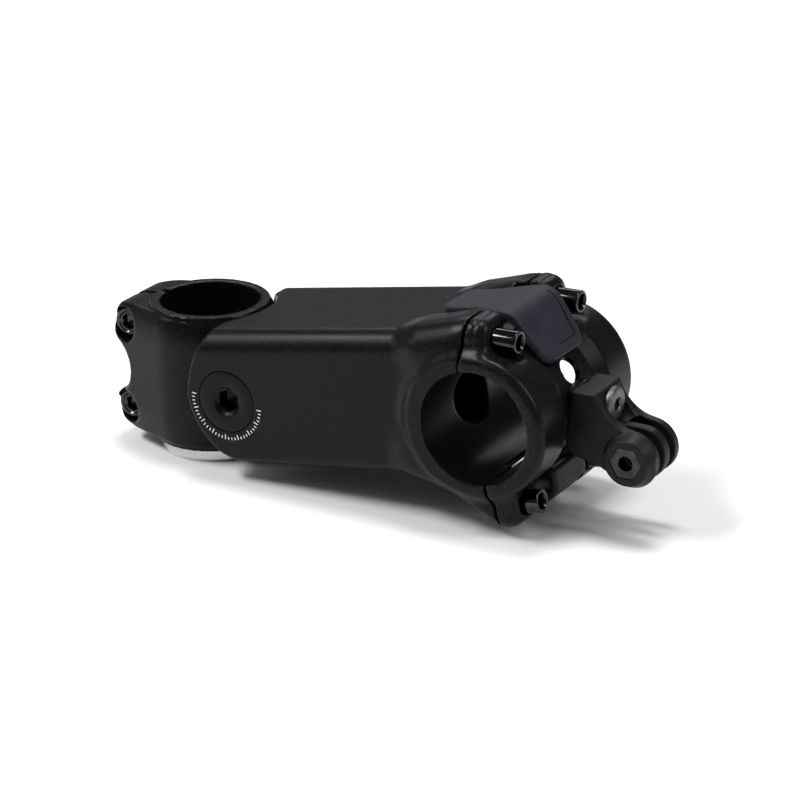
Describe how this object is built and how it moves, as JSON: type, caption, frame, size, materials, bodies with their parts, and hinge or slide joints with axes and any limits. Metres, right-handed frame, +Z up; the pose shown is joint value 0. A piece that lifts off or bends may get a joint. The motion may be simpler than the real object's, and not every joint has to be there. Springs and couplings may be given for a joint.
{
  "type": "suspension handlebar stem",
  "caption": "Bicycle handlebar stem whose hollow arm turns on a bearing pivot against elastomers, with a split bar clamp, soft top cover and pronged accessory mount.",
  "frame": {"origin": "on the steerer axis, at mid-height of the steerer clamp", "axes": "+X towards the handlebar, +Y to the rider's left, +Z up along the steerer"},
  "size_m": [0.1715, 0.055, 0.0579],
  "materials": {
    "body_alloy": "fine bead-blasted black anodising",
    "clamp_alloy": "fine bead-blasted black anodising",
    "faceplate_alloy": "fine bead-blasted black anodising",
    "black_bolt": "polished black oxide",
    "pivot_cap": "satin black anodised, turned",
    "grey_screw": "satin grey",
    "bearing_steel": "ground and polished",
    "plain_steel": "zinc plated",
    "seal_rubber": "moulded",
    "elastomer": "moulded, semi-matt",
    "pad_rubber": "moulded",
    "cover_plastic": "soft-touch blue-grey",
    "mount_plastic": "fine moulded texture",
    "wedge_plastic": "glass-filled nylon"
  },
  "bodies": {
    "clamp": {"steerer_clamp": "clamp_alloy", "pinch_bolts": "black_bolt", "pinch_washers": "plain_steel", "pivot_bolts": "pivot_cap", "bearing_inner_rings": "bearing_steel", "bearing_spacers": "plain_steel"},
    "ball_sets": {"bearing_balls": "bearing_steel"},
    "stem": {"stem_body": "body_alloy", "bearing_outer_rings": "bearing_steel", "bearing_seals": "seal_rubber", "rear_elastomer": "elastomer", "front_elastomer": "elastomer", "rebound_pad": "pad_rubber", "preload_anchor": "plain_steel"},
    "wedge": {"preload_wedge": "wedge_plastic"},
    "screw": {"preload_screw": "black_bolt"},
    "faceplate": {"faceplate": "faceplate_alloy", "face_bolts": "black_bolt", "bottom_cover": "mount_plastic", "accessory_mount": "mount_plastic", "mount_screw": "grey_screw", "captive_nut": "black_bolt"},
    "top_cover": {"top_cover": "cover_plastic"}
  },
  "joints": [
    {"name": "suspension_pivot", "type": "hinge", "parent": "clamp", "child": "stem", "pos_m": [0.02, 0, 0.0005], "axis": [0, 1, 0], "range_deg": [-1, 6.5], "stiffness_Nm_per_rad": 900, "deforming": ["rear_elastomer", "front_elastomer", "rebound_pad"]},
    {"name": "ball_roll", "type": "hinge", "parent": "clamp", "child": "ball_sets", "pos_m": [0.02, 0, 0.0005], "axis": [0, 1, 0], "range_deg": [-0.6, 3.7]},
    {"name": "preload_slide", "type": "slide", "parent": "stem", "child": "wedge", "axis": [-0.9895, 0, -0.1444], "range_m": [0, 0.0015], "deforming": ["rebound_pad"]},
    {"name": "preload_turn", "type": "hinge", "parent": "wedge", "child": "screw", "pos_m": [0.05458, 0, -0.00683], "axis": [-0.9895, 0, -0.1444], "range_deg": [0, 1080]},
    {"name": "faceplate_slack", "type": "slide", "parent": "stem", "child": "faceplate", "axis": [0.9962, 0, 0.0872], "range_m": [0, 0.0015]},
    {"name": "cover_lift", "type": "slide", "parent": "faceplate", "child": "top_cover", "axis": [-0.167, 0, 0.986], "range_m": [0, 0.01]}
  ],
  "couplings": [
    {"joint": "ball_roll", "follows": "suspension_pivot", "ratio": 0.5567},
    {"joint": "preload_turn", "follows": "preload_slide", "rad_per_m": 12566}
  ]
}
